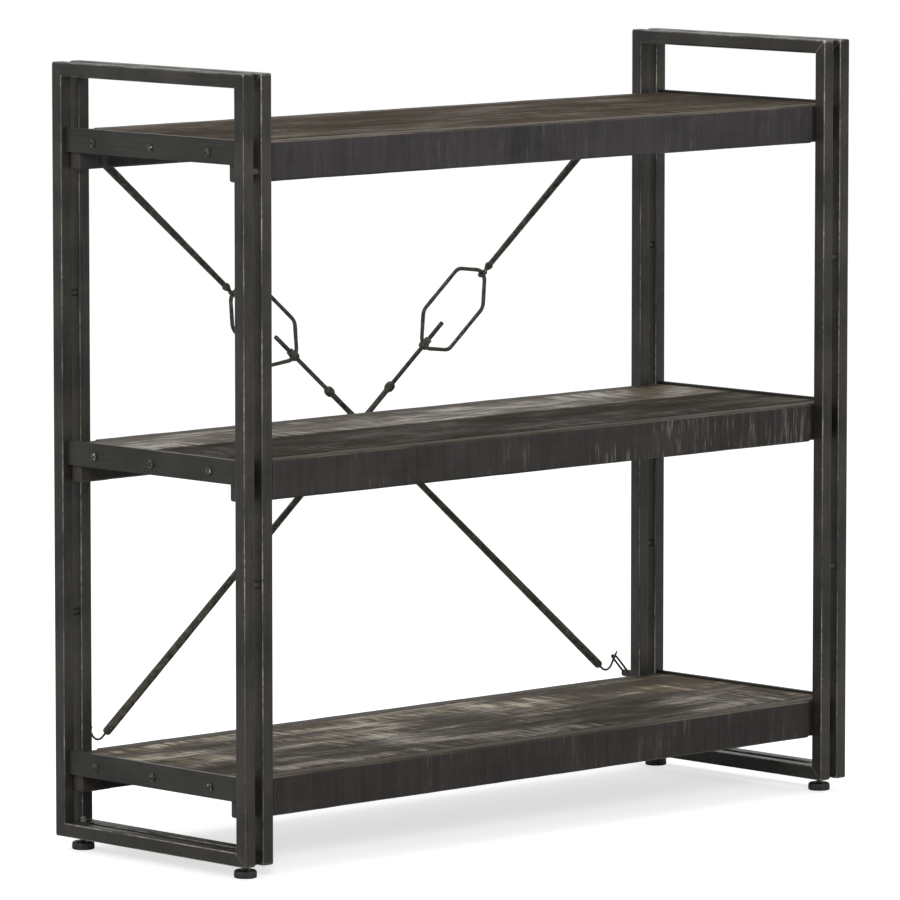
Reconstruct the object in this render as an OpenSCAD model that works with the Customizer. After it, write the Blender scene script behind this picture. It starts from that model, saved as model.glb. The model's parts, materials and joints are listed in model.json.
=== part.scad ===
// Free-standing steel and timber bookcase: twin-tube end frames, three hollow plank shelves
// screwed to flat side rails, two hooked tie rods crossing behind, and four levelling feet.
// X runs left to right, Y from the front to the back, Z up. The floor is at Z = 0.

/* [Overall] */
// Outside width over both end frames
frame_w = 900; // [600:10:1200]
// Depth of the end frames
frame_d = 300; // [240:5:400]
// Height of the frame tops above the floor, feet at their middle setting
frame_top = 835; // [780:5:1100]
// Height of the frame undersides above the floor, feet at their middle setting
frame_lift = 14; // [12:1:20]

/* [End frames] */
// Outside width of the square tube
tube = 15; // [12:1:20]
// Wall of the square tube
tube_wall = 1.2; // [1:0.1:2]
// Outside corner radius of the square tube
tube_r = 2; // [1.5:0.5:3]
// Gap between the outer and the inner loop of an end frame
loop_gap = 10; // [8.5:0.5:14]
// Radius of the spacers that join the two loops
spacer_r = 4; // [2:0.5:5]
// Spacer heights on the front post of the left frame
left_front_spacers = [307, 734]; // [60:1:760]
// Spacer heights on the front post of the right frame
right_front_spacers = [252, 595]; // [60:1:760]
// Spacer heights on both rear posts
rear_spacers = [252, 591]; // [60:1:760]

/* [Shelves] */
// Height of the lowest shelf top above the floor
first_shelf = 104; // [90:1:140]
// Distance from one shelf top to the next
shelf_pitch = 330; // [250:5:330]
// Height of the front and rear aprons
apron_h = 42; // [36:1:60]
// Thickness of the aprons between the posts
apron_t = 23; // [20:1:30]
// How far the aprons stand forward between the posts
apron_step = 7; // [3:0.5:10]
// Clearance in depth between the aprons and the posts
post_clear = 2; // [1:0.5:4]
// Clearance in width where an apron steps in beside a post
step_clear = 9; // [4:0.5:12]
// Thickness of the planks
plank_t = 18; // [15:1:22]
// Joint between neighbouring planks
plank_joint = 0.6; // [0.3:0.1:1]
// Depth of the front plank with its apron, from the lowest shelf to the highest
front_strip = [125, 160, 100]; // [60:1:180]
// Width of the battens under the planks
batten_w = 60; // [40:5:90]
// Thickness of the battens
batten_t = 18; // [12:1:22]
// Distance of each batten from the middle of the shelf
batten_x = 210; // [120:5:220]

/* [Side rails] */
// Height of the flat bar
rail_h = 26; // [22:1:36]
// Thickness of the flat bar
rail_t = 5; // [3:0.5:6]
// How far the bar stands above the shelf top
rail_rise = 2.5; // [0:0.5:4]
// Distance of the outer screws from the middle screw
screw_span = 90; // [60:5:100]
// Screw axis below the shelf top
screw_drop = 12; // [8:0.5:12]
// Radius of the screw shank
screw_r = 2; // [1.5:0.25:2.5]
// Radius of the screw head
screw_head_r = 4.4; // [3.5:0.1:5]
// Height of the screw head
screw_head_h = 2; // [1.5:0.1:3]
// Length of the screw under its head
screw_len = 35; // [25:1:50]

/* [Levelling feet] */
// Distance of the feet from the front and rear faces
foot_inset = 22; // [20:1:40]
// Radius of the foot pad
pad_r = 12; // [10:0.5:16]
// Height of the foot pad
pad_h = 8.5; // [7:0.5:10]
// Radius of the foot stud
stud_r = 3; // [2.5:0.25:3.5]
// Length of the foot stud that stands above the pad
stud_len = 26; // [24:1:34]
// Depth of the threaded block that holds the stud
block_d = 24; // [16:1:36]

/* [Tie rods] */
// Height of the lower anchors
anchor_low = 102.5; // [80:0.5:140]
// Height of the upper anchors
anchor_high = 742.5; // [600:0.5:790]
// How far the line of a tie rod passes below its lower anchor
anchor_sag = 23; // [16:1:28]
// Distance along that line from the anchor back to the rod end that carries the hook
hook_reach = 56; // [50:1:62]
// Distance of the nearer tie rod behind the rear posts
near_plane = 5.5; // [5.5:0.5:8]
// Distance of the farther tie rod behind the rear posts
far_plane = 12.5; // [12.5:0.5:18]
// Rod radius at its hook end
rod_r = 4.8; // [3.5:0.1:4.9]
// Rod radius at its thin end
rod_thin_r = 3.1; // [2.6:0.1:3.2]
// Radius of the threaded rod
thread_r = 2.5; // [2:0.1:2.6]
// Distance from the crossing to the collar of the lower rod
collar_at = 54; // [40:1:80]
// Distance from the crossing to the middle of the tensioning link
link_at = 179; // [150:1:200]
// Half length of the link
link_half_len = 58; // [50:1:66]
// Half width of the link
link_half_w = 30; // [24:1:34]
// Wire radius of the link
link_wire = 2.25; // [1.75:0.25:2.5]
// Length of thread that stands inside the link
thread_spare = 36; // [26:1:44]
// Wire radius of the hooks and eyes
hook_wire = 1.2; // [0.9:0.1:1.4]

/* [Hidden] */
$fn = 48;

// Frame lines. The rods behind the posts count in the depth, so the origin is under the middle.
boss_r = 5.4;
depth_all = frame_d + far_plane + boss_r;
front_y = -depth_all / 2;
rear_y = front_y + frame_d;
mid_y = (front_y + rear_y) / 2;
half_w = frame_w / 2;
end_w = 2 * tube + loop_gap;
weld_line = 0.06;
gap_x = half_w - tube - loop_gap / 2;
inner_x = half_w - end_w;
frame_h = frame_top - frame_lift;

// Shelf lines, with the width axis at the shelf's own middle
shelf_names = ["bottom", "middle", "top"];
shelf_tops = [for (i = [0:2]) first_shelf + i * shelf_pitch];
rail_x = half_w - tube / 2 + rail_t / 2;
shelf_half_w = rail_x - rail_t;
tab_half_d = frame_d / 2 - tube - post_clear;
shelf_half_d = tab_half_d + apron_step;
plank_half_d = shelf_half_d - apron_t;
screw_ys = [-screw_span, 0, screw_span];
screw_fit = 0.05;

// Feet
foot_x = gap_x;
foot_y = frame_d / 2 - foot_inset;
block_h = tube;
stud_head_r = 4.4;
stud_head_h = 2;
stud_head_z = 3;
foot_fit = 0.05;
pad_mouth_fit = 0.25;

// Tie rods, in their own frame: X along the rod from the crossing, Y to the back
anchor_x = half_w - tube - loop_gap - tube / 2;
cross_z = (anchor_low + anchor_high) / 2;
brace_drop = cross_z - anchor_low + anchor_sag;
brace_angle = atan2(brace_drop, anchor_x);
rod_end = norm([anchor_x, brace_drop]) - hook_reach;
link_foot = link_at - link_half_len;
link_head = link_at + link_half_len;
boss_len = 8;
nut_flat_r = 4;
nut_h = 4.5;
nut_gap = 0.1;
thread_fit = 0.05;
collar_r = 5.4;
collar_len = 12;
ferrule_r = 4.4;
ferrule_len = 12;
curl_wire = 1.6;
curl_fit = 0.3;
curl_r = link_wire + curl_fit + curl_wire;
link_bend = 13;
link_end_angle = 46;
hook_bend = 6;
hook_fit = 0.3;
hook_run = 12.3;
hook_rise = 58;
hook_leg = 12;
hook_tip = 7;
eye_half_w = 4;
eye_bend = 3.5;
eye_len = 31;
eye_angle = 46;
eye_boss_r = 4;

// ---- End frames ----

// A square with round corners, from two bars and four discs
module soft_square(width, r) {
    translate([r, 0]) square([width - 2 * r, width]);
    translate([0, r]) square([width, width - 2 * r]);
    for (x = [r, width - r], y = [r, width - r])
        translate([x, y]) circle(r);
}

// Square tube along Z with mitred ends: its outer face is at Y = 0 and the mitres slope inwards.
// Each mitre stands back by half the weld line, so the four tubes of a loop stay apart.
module mitred_tube(length) {
    low = weld_line / 2;
    high = length - weld_line / 2;
    intersection() {
        linear_extrude(length) difference() {
            soft_square(tube, tube_r);
            translate([tube_wall, tube_wall]) square(tube - 2 * tube_wall);
        }
        rotate([90, 0, 90]) linear_extrude(tube)
            polygon([[0, low], [tube, low + tube], [tube, high - tube], [0, high]]);
    }
}

// Front post, rear post, top rail and bottom rail, welded at the mitres
module loop(x) {
    color("dimgray") {
        translate([x, front_y, frame_lift]) mitred_tube(frame_h);
        translate([x, rear_y, frame_lift]) mirror([0, 1, 0]) mitred_tube(frame_h);
        translate([x, front_y, frame_top]) rotate([-90, 0, 0]) mitred_tube(frame_d);
        translate([x, front_y, frame_lift]) mirror([0, 0, 1]) rotate([-90, 0, 0])
            mitred_tube(frame_d);
    }
}

// Short round bars across the gap between the loops, at the middle of each post
module loop_spacers(side, front_heights) {
    color("silver")
        for (row = [[front_y + tube / 2, front_heights], [rear_y - tube / 2, rear_spacers]])
            for (z = row[1])
                translate([side * gap_x - loop_gap / 2, row[0], z])
                    rotate([0, 90, 0]) cylinder(h = loop_gap, r = spacer_r);
}

// Threaded blocks welded between the two bottom rails of each end frame
module foot_blocks() {
    color("dimgray")
        for (sx = [-1, 1], sy = [-1, 1])
            translate([sx * foot_x, mid_y + sy * foot_y, frame_lift]) difference() {
                translate([-loop_gap / 2, -block_d / 2, 0]) cube([loop_gap, block_d, block_h]);
                translate([0, 0, -1]) cylinder(h = block_h + 2, r = stud_r + foot_fit);
            }
}

// ---- Side rails and their screws ----

module side_rail(side, shelf_top) {
    color("dimgray") difference() {
        translate([side * rail_x - (side > 0 ? rail_t : 0), front_y + tube,
                   shelf_top + rail_rise - rail_h])
            cube([rail_t, frame_d - 2 * tube, rail_h]);
        screw_holes(shelf_top);
    }
}

// Clearance for the screw shanks, through both rails and into the shelf ends
module screw_holes(shelf_top) {
    for (side = [-1, 1], y = screw_ys)
        translate([side * rail_x, mid_y + y, shelf_top - screw_drop])
            rotate([0, -90 * side, 0]) translate([0, 0, -1])
                cylinder(h = screw_len + 2, r = screw_r + screw_fit);
}

// Domed head with a cross recess, and a plain shank with a point
module rail_screw() {
    point_len = 4;
    recess_w = 0.9;
    recess_half = 2.4;
    difference() {
        rotate_extrude() {
            polygon([[0, 0], [screw_head_r, 0], [screw_head_r, -screw_head_h / 2],
                     [screw_head_r / 2, -screw_head_h], [0, -screw_head_h]]);
            polygon([[0, 0], [screw_r, 0], [screw_r, screw_len - point_len], [0, screw_len]]);
        }
        for (turn = [0, 90])
            rotate([0, 0, turn]) translate([-recess_half, -recess_w / 2, -screw_head_h - 1])
                cube([2 * recess_half, recess_w, 2]);
    }
}

module rail_screws(shelf_top) {
    color("gray")
        for (side = [-1, 1], y = screw_ys)
            translate([side * rail_x, mid_y + y, shelf_top - screw_drop])
                rotate([0, -90 * side, 0]) rail_screw();
}

// ---- Shelves ----

// Plan outline of half a shelf: full depth between the posts, stepped in beside them
module shelf_plan() {
    step_x = inner_x - step_clear;
    translate([-step_x, -shelf_half_d]) square([2 * step_x, 2 * shelf_half_d]);
    translate([-shelf_half_w, -tab_half_d]) square([2 * shelf_half_w, 2 * tab_half_d]);
}

// Apron on edge along the front (side = -1) or the rear (side = 1) of a shelf
module apron(side, shelf_top) {
    color([0.28, 0.27, 0.27])
        translate([0, mid_y, shelf_top - apron_h]) linear_extrude(apron_h) intersection() {
            shelf_plan();
            translate([-half_w, side > 0 ? plank_half_d : -shelf_half_d])
                square([frame_w, apron_t]);
        }
}

// Plank between the aprons, from y0 to y1 behind the shelf's middle line
module plank(y0, y1, shelf_top) {
    color([0.38, 0.34, 0.30]) difference() {
        translate([-shelf_half_w, mid_y + y0, shelf_top - plank_t])
            cube([2 * shelf_half_w, y1 - y0, plank_t]);
        screw_holes(shelf_top);
    }
}

module front_plank(i) {
    plank(-plank_half_d, front_strip[i] - shelf_half_d - plank_joint / 2, shelf_tops[i]);
}

module rear_plank(i) {
    plank(front_strip[i] - shelf_half_d + plank_joint / 2, plank_half_d, shelf_tops[i]);
}

// Two cross battens under the planks, between the aprons
module battens(i) {
    color([0.45, 0.38, 0.30])
        for (side = [-1, 1])
            translate([side * batten_x - batten_w / 2, mid_y - plank_half_d,
                       shelf_tops[i] - plank_t - batten_t])
                cube([batten_w, 2 * plank_half_d, batten_t]);
}

// ---- Levelling feet ----

// Stud with a flat head that the pad turns on
module foot_stud(sx, sy) {
    tip = 1;
    top_z = pad_h + stud_len;
    color("silver")
        translate([sx * foot_x, mid_y + sy * foot_y, 0]) rotate_extrude() {
            polygon([[0, stud_head_z + foot_fit], [stud_head_r, stud_head_z + foot_fit],
                     [stud_head_r, stud_head_z + stud_head_h], [0, stud_head_z + stud_head_h]]);
            polygon([[0, stud_head_z + 1], [stud_r, stud_head_z + 1], [stud_r, top_z - tip],
                     [stud_r - tip, top_z], [0, top_z]]);
        }
}

// Round pad, chamfered below and domed above, with a pocket that traps the stud head
module foot_pad(sx, sy) {
    bevel = 1;
    crown = 2.5;
    pocket_r = stud_head_r + foot_fit;
    pocket_z = stud_head_z + stud_head_h + 2 * foot_fit;
    mouth_r = stud_r + pad_mouth_fit;
    color([0.12, 0.12, 0.12])
        translate([sx * foot_x, mid_y + sy * foot_y, 0]) rotate_extrude()
            polygon([[0, 0], [pad_r - bevel, 0], [pad_r, bevel], [pad_r, pad_h - crown],
                     [pad_r - crown / 2, pad_h - crown / 3], [pad_r - 2 * crown, pad_h],
                     [mouth_r, pad_h], [mouth_r, pocket_z], [pocket_r, pocket_z],
                     [pocket_r, stud_head_z], [0, stud_head_z]]);
}

// ---- Tie rods ----

// The right tie rod climbs to the right in the nearer plane; the left one is its mirror image
// in the farther plane
module brace_place(side) {
    plane = rear_y + (side > 0 ? near_plane : far_plane);
    mirror([side > 0 ? 0 : 1, 0, 0])
        translate([0, plane, cross_z]) rotate([0, -brace_angle, 0]) children();
}

// Places round pieces that are drawn along Z onto the rod axis
module on_axis(x) {
    translate([x, 0, 0]) rotate([0, 90, 0]) children();
}

// Round wire through points of the XZ plane, with a bend of the given radius at each corner.
// Each straight run laps into its bends, which are a hair thicker so that the two join cleanly.
function unit(v) = v / norm(v);
function turn_at(a, b, c) =
    let (u = unit(b - a), v = unit(c - b)) atan2(u[0] * v[1] - u[1] * v[0], u * v);
function cut_at(a, b, c, bend) = bend * tan(abs(turn_at(a, b, c)) / 2);

module wire(points, wire_r, bend, closed = false) {
    n = len(points);
    lap = 0.15;
    over = 0.03;
    for (i = [0:(closed ? n - 1 : n - 2)]) {
        a = points[i];
        b = points[(i + 1) % n];
        start = !closed && i == 0 ? 0 : cut_at(points[(i + n - 1) % n], a, b, bend) - lap;
        finish = !closed && i == n - 2 ? 0 : cut_at(a, b, points[(i + 2) % n], bend) - lap;
        along = unit(b - a);
        p = a + along * start;
        translate([p[0], 0, p[1]]) rotate([0, 90 - atan2(along[1], along[0]), 0])
            cylinder(h = norm(b - a) - start - finish, r = wire_r, $fn = 32);
    }
    for (i = [(closed ? 0 : 1):(closed ? n - 1 : n - 2)]) {
        a = points[(i + n - 1) % n];
        b = points[i];
        c = points[(i + 1) % n];
        turn = turn_at(a, b, c);
        into = unit(b - a);
        p = b - into * cut_at(a, b, c, bend);
        left = turn > 0 ? 1 : -1;
        centre = p + left * bend * [-into[1], into[0]];
        translate([centre[0], 0, centre[1]]) rotate([90, 0, 0])
            rotate([0, 0, atan2(into[1], into[0]) - left * 90])
                rotate_extrude(angle = turn)
                    translate([bend, 0]) circle(wire_r + over, $fn = 32);
    }
}

// Tapered round rod from its thin end to its hook end, which is chamfered
module tapered_rod(x0, x1) {
    bevel = 3;
    cut = sign(x1 - x0) * bevel;
    on_axis(x0) rotate([x1 > x0 ? 0 : 180, 0, 0])
        cylinder(h = abs(x1 - x0) - bevel, r1 = rod_thin_r, r2 = rod_r);
    on_axis(x1 - cut) rotate([x1 > x0 ? 0 : 180, 0, 0])
        cylinder(h = bevel, r1 = rod_r, r2 = hook_wire + 1);
}

// Upper rod: ferrule, a curl of wire round the head of the link, and the tapered rod
module upper_rod(side) {
    curl_top = link_head + curl_r;
    ferrule_end = curl_top + ferrule_len;
    color("dimgray") brace_place(side) {
        translate([link_head, 0, 0])
            rotate_extrude() translate([curl_r, 0]) circle(curl_wire, $fn = 24);
        on_axis(curl_top) cylinder(h = ferrule_len * 2 / 3, r1 = curl_wire, r2 = ferrule_r);
        on_axis(curl_top + ferrule_len * 2 / 3)
            cylinder(h = ferrule_len / 3, r1 = ferrule_r, r2 = rod_thin_r);
        tapered_rod(ferrule_end, rod_end);
    }
}

// Six-sided wire link with a round boss at its foot, bored for the threaded rod. The corner
// points at its two ends stand out so that the bent wire itself ends at the link's length.
module link(side) {
    tip = link_half_len + link_bend * (1 / sin(link_end_angle) - 1);
    flank = tip - link_half_w / tan(link_end_angle);
    corners = [[tip, 0], [flank, link_half_w], [-flank, link_half_w],
               [-tip, 0], [-flank, -link_half_w], [flank, -link_half_w]];
    color("dimgray") brace_place(side) difference() {
        union() {
            translate([link_at, 0, 0]) wire(corners, link_wire, link_bend, closed = true);
            on_axis(link_foot - boss_len / 2) cylinder(h = boss_len, r = boss_r);
        }
        on_axis(link_foot - boss_len) cylinder(h = 2 * boss_len, r = thread_r + thread_fit);
    }
}

// Hexagon nut inside the link, seated on the boss
module tension_nut(side) {
    color("silver") brace_place(side)
        on_axis(link_foot + boss_len / 2 + nut_gap) difference() {
            cylinder(h = nut_h, r = nut_flat_r / cos(30), $fn = 6);
            translate([0, 0, -1]) cylinder(h = nut_h + 2, r = thread_r + thread_fit);
        }
}

// Lower rod: threaded end, collar and tapered rod
module lower_rod(side) {
    color("dimgray") brace_place(side) {
        on_axis(collar_at) cylinder(h = link_foot + thread_spare - collar_at, r = thread_r);
        on_axis(collar_at - collar_len / 2) {
            cylinder(h = collar_len / 3, r1 = rod_thin_r, r2 = collar_r);
            translate([0, 0, collar_len / 3]) cylinder(h = collar_len / 3, r = collar_r);
            translate([0, 0, collar_len * 2 / 3])
                cylinder(h = collar_len / 3, r1 = collar_r, r2 = thread_r + 0.5);
        }
        tapered_rod(collar_at - collar_len / 2, -rod_end);
    }
}

// Wire hook: out of the rod end, round a bend, and up through the eye just inside its tip. Its
// path is in the plane of the rods, from the crossing, for the low end at the right-hand side.
function hook_path() =
    let (along = [cos(brace_angle), -sin(brace_angle)], end = rod_end * along,
         eye = [-cos(eye_angle), sin(eye_angle)],
         catch = [anchor_x, anchor_low - cross_z] + (eye_len - 2 * hook_wire - hook_fit) * eye,
         up = [cos(hook_rise), sin(hook_rise)])
    [end, end + hook_run * along, catch - hook_leg * up, catch + hook_tip * up];

// side: which tie rod. upper: the hook at its high end, which is the low one turned over.
module wire_hook(side, upper) {
    plane = rear_y + (side > 0 ? near_plane : far_plane);
    toward_right = (side > 0) == upper;
    color("gray")
        mirror([toward_right ? 0 : 1, 0, 0]) translate([0, plane, cross_z])
            mirror([0, 0, upper ? 1 : 0]) wire(hook_path(), hook_wire, hook_bend);
}

// Long eye of wire on a round boss, welded to the rear face of the inner post
module post_eye(side, upper) {
    nearer = upper == (side > 0);
    plane = nearer ? near_plane : far_plane;
    anchor_z = upper ? anchor_high : anchor_low;
    color("gray")
        translate([side * anchor_x, rear_y, anchor_z]) mirror([side > 0 ? 1 : 0, 0, 0])
            mirror([0, 0, upper ? 1 : 0]) {
                rotate([-90, 0, 0]) cylinder(h = plane + eye_half_w + hook_wire, r = eye_boss_r);
                translate([0, plane, 0]) rotate([0, -eye_angle, 0]) rotate([90, 0, 0])
                    wire([[0, -eye_half_w], [eye_len, -eye_half_w], [eye_len, eye_half_w],
                          [0, eye_half_w]], hook_wire, eye_bend);
            }
}

module post_eyes(side) {
    post_eye(side, false);
    post_eye(side, true);
}

// ---- Nodes ----

loop(-half_w);  // left_outer_loop
loop(-inner_x - tube);  // left_inner_loop
loop(inner_x);  // right_inner_loop
loop(half_w - tube);  // right_outer_loop
loop_spacers(-1, left_front_spacers);  // left_loop_spacers
loop_spacers(1, right_front_spacers);  // right_loop_spacers
foot_blocks();

for (i = [0:2]) {
    shelf = shelf_names[i];
    side_rail(-1, shelf_tops[i]);
    side_rail(1, shelf_tops[i]);
    apron(-1, shelf_tops[i]);
    apron(1, shelf_tops[i]);
    front_plank(i);
    rear_plank(i);
    battens(i);
    rail_screws(shelf_tops[i]);
}

for (foot = [["front_left", -1, -1], ["front_right", 1, -1], ["rear_left", -1, 1],
             ["rear_right", 1, 1]]) {
    foot_stud(foot[1], foot[2]);
    foot_pad(foot[1], foot[2]);
}

for (brace = [["left", -1], ["right", 1]]) {
    post_eyes(brace[1]);
    upper_rod(brace[1]);
    wire_hook(brace[1], true);
    link(brace[1]);
    tension_nut(brace[1]);
    lower_rod(brace[1]);
    wire_hook(brace[1], false);
}
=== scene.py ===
import bpy, json, math
import numpy as np
from mathutils import Matrix, Vector


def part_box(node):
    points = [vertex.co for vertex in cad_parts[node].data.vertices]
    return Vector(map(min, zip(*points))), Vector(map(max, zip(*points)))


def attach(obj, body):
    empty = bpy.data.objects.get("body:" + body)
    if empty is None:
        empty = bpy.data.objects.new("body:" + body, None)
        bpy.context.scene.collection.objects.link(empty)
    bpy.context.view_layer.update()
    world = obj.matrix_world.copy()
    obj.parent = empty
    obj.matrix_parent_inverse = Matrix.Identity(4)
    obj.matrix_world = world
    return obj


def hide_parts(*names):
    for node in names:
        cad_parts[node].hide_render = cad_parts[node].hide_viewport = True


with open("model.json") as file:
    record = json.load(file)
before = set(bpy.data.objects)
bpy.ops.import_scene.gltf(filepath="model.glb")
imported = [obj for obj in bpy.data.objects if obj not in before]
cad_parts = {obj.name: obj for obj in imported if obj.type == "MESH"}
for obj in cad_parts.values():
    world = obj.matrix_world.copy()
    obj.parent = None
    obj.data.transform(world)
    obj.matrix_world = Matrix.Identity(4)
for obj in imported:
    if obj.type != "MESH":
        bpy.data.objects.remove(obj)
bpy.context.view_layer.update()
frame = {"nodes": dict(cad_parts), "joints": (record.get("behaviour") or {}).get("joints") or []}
left_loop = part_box("left_outer_loop")
right_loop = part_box("right_outer_loop")
frame_mid = (left_loop[0] + right_loop[1]) / 2

# ---- Room ----
# A pale studio: a matt floor, an even white surround and two large soft lamps. The camera
# stands low, in front of the left-hand end, with a long lens.


def linear(code):
    """sRGB hex to linear: each channel c/12.92 below 0.04045, else ((c + 0.055)/1.055)^2.4."""
    c = np.array([int(code[i:i + 2], 16) for i in (1, 3, 5)]) / 255
    return (*np.where(c <= 0.04045, c / 12.92, ((c + 0.055) / 1.055) ** 2.4), 1.0)


def add(tree, kind, given):
    """Adds a node. Each entry of given is a socket to link or set, or a setting of the node."""
    made = tree.nodes.new(kind)
    for key, value in given.items():
        if isinstance(key, str) and key not in made.inputs:
            setattr(made, key, value)
        elif isinstance(value, bpy.types.NodeSocket):
            tree.links.new(value, made.inputs[key])
        else:
            made.inputs[key].default_value = value
    return made


turn, rise = math.radians(43.636), math.radians(6.353)
ahead = Vector((math.sin(turn) * math.cos(rise), math.cos(turn) * math.cos(rise), -math.sin(rise)))
right = Vector((math.cos(turn), -math.sin(turn), 0))
up = right.cross(ahead)
aim = Vector((0, frame_mid.y, 0.4205))
camera = bpy.data.objects.new("camera", bpy.data.cameras.new("camera"))
camera.data.lens, camera.data.sensor_width = 312.67, 36
camera.data.clip_end = 60
camera.location = aim - 8.4443 * ahead - 0.0108 * right - 0.0178 * up
camera.rotation_euler = Matrix((right, up, -ahead)).transposed().to_euler()
bpy.context.scene.collection.objects.link(camera)
bpy.context.scene.camera = camera
bpy.context.scene.view_settings.view_transform = "Standard"

for name, place, width, power in (("key_lamp", (-2.9, -3.1, 1.9), 0.9, 62),
                                  ("top_lamp", (0.6, 0.4, 3.4), 2.4, 34)):
    lamp = bpy.data.objects.new(name, bpy.data.lights.new(name, "AREA"))
    lamp.data.size, lamp.data.energy = width, power
    lamp.location = place
    lamp.rotation_euler = (aim - Vector(place)).to_track_quat("-Z", "Y").to_euler()
    bpy.context.scene.collection.objects.link(lamp)

world = bpy.context.scene.world or bpy.data.worlds.new("surround")
bpy.context.scene.world = world
world.use_nodes = True
tree = world.node_tree
tree.nodes.clear()
seen = add(tree, "ShaderNodeLightPath", {})
either = add(tree, "ShaderNodeMath", {"operation": "MAXIMUM", 0: seen.outputs["Is Camera Ray"],
                                      1: seen.outputs["Is Glossy Ray"]})
either = add(tree, "ShaderNodeMath", {"operation": "MAXIMUM", 0: either.outputs[0],
                                      1: seen.outputs["Is Transmission Ray"]})
dim = add(tree, "ShaderNodeBackground", {"Color": (1, 1, 1, 1), "Strength": 0.42})
white = add(tree, "ShaderNodeBackground", {"Color": (1, 1, 1, 1), "Strength": 1.0})
both = add(tree, "ShaderNodeMixShader", {0: either.outputs[0], 1: dim.outputs[0],
                                         2: white.outputs[0]})
add(tree, "ShaderNodeOutputWorld", {"Surface": both.outputs[0]})

side = np.array([[-9, -9, 0], [9, -9, 0], [9, 9, 0], [-9, 9, 0]], float)
floor = bpy.data.objects.new("floor", bpy.data.meshes.new("floor"))
floor.data.from_pydata(side, [], [(0, 1, 2, 3)])
bpy.context.scene.collection.objects.link(floor)
pale = bpy.data.materials.new("matt_pale_floor")
pale.use_nodes = True
tree = pale.node_tree
tree.nodes.clear()
seen = add(tree, "ShaderNodeLightPath", {})
glow = add(tree, "ShaderNodeMath", {"operation": "MULTIPLY", 0: seen.outputs["Is Camera Ray"],
                                    1: 0.66})
matt = add(tree, "ShaderNodeBsdfPrincipled", {
    "Base Color": linear("#eeeeee"), "Roughness": 0.9, "Specular IOR Level": 0.1,
    "Emission Color": (1, 1, 1, 1), "Emission Strength": glow.outputs[0]})
add(tree, "ShaderNodeOutputMaterial", {"Surface": matt.outputs[0]})
floor.data.materials.append(pale)

# ---- End-frame loops ----
# Each end frame is two loops of 15 mm square mild-steel tube side by side. A loop is four
# tubes cut at 45 degrees, welded, and ground flush, then blackened and waxed; handling has
# rubbed the finish back to steel along the arrises.


def round_rect(w, h, r, arc=5, flat=4):
    """Outline of a rectangle with quarter-circle corners, centred, anticlockwise. Returns its
    points, its outward normals, and how near each point is to the middle of a corner, 0 to 1."""
    out, normal, arris = [], [], []
    for k, (cx, cy) in enumerate(((w, -h), (w, h), (-w, h), (-w, -h))):
        centre = np.array([cx / 2 - np.sign(cx) * r, cy / 2 - np.sign(cy) * r])
        a = np.radians(-90 + 90 * k + np.linspace(0, 90, arc + 1))
        n = np.stack([np.cos(a), np.sin(a)], 1)
        out.append(centre + r * n)
        normal.append(n)
        arris.append(1 - np.abs(np.linspace(-1, 1, arc + 1)))
        length = (h if k % 2 == 0 else w) - 2 * r
        step = np.array([[0, 1], [-1, 0], [0, -1], [1, 0]][k], float)
        t = np.concatenate([[0.02], np.linspace(0, 1, flat + 1)[1:-1], [0.98]])
        out.append(centre + r * n[-1] + t[:, None] * length * step)
        normal.append(np.repeat(n[-1:], len(t), 0))
        arris.append(np.zeros(len(t)))
    return np.concatenate(out), np.concatenate(normal), np.concatenate(arris)


def shell(grid, arris, ring=False):
    """Closed skin over a grid of points: rows along the piece, columns round it. A ring joins
    its last row to its first; otherwise a fan closes each end. It carries, for each point, the
    distance along, the distance round, and the arris value."""
    rows, cols = grid.shape[:2]
    i, j = np.meshgrid(np.arange(rows if ring else rows - 1), np.arange(cols), indexing="ij")
    i, j = i.ravel(), j.ravel()
    a, b = i * cols + j, i * cols + (j + 1) % cols
    c, d = (i + 1) % rows * cols + (j + 1) % cols, (i + 1) % rows * cols + j
    quads = np.stack([a, b, c, d], 1)
    step = np.linalg.norm(np.diff(grid.mean(1), axis=0), axis=1)
    along = np.concatenate([[0], np.cumsum(step)])
    hoop = np.linalg.norm(np.diff(grid[rows // 2], axis=0), axis=1)
    around = np.concatenate([[0], np.cumsum(hoop)])
    marks = np.stack([np.repeat(along[:, None], cols, 1), np.repeat(around[None], rows, 0),
                      np.broadcast_to(arris, (rows, cols))], 2).reshape(-1, 3)
    points = grid.reshape(-1, 3)
    fans = np.zeros((0, 3), int)
    if not ring:
        n = len(points)
        points = np.concatenate([points, grid[:1].mean(1), grid[-1:].mean(1)])
        marks = np.concatenate([marks, marks[:1], marks[-cols:][:1]])
        j = np.arange(cols)
        last = (rows - 1) * cols
        fans = np.concatenate([
            np.stack([np.full(cols, n), (j + 1) % cols, j], 1),
            np.stack([np.full(cols, n + 1), last + j, last + (j + 1) % cols], 1)])
    tris = np.concatenate([quads[:, :3], quads[:, [0, 2, 3]], fans])
    p = points[tris]
    if np.einsum("ij,ij->i", p[:, 0], np.cross(p[:, 1], p[:, 2])).sum() < 0:
        quads, fans = quads[:, ::-1], fans[:, ::-1]
    return points, quads, fans, marks


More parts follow.
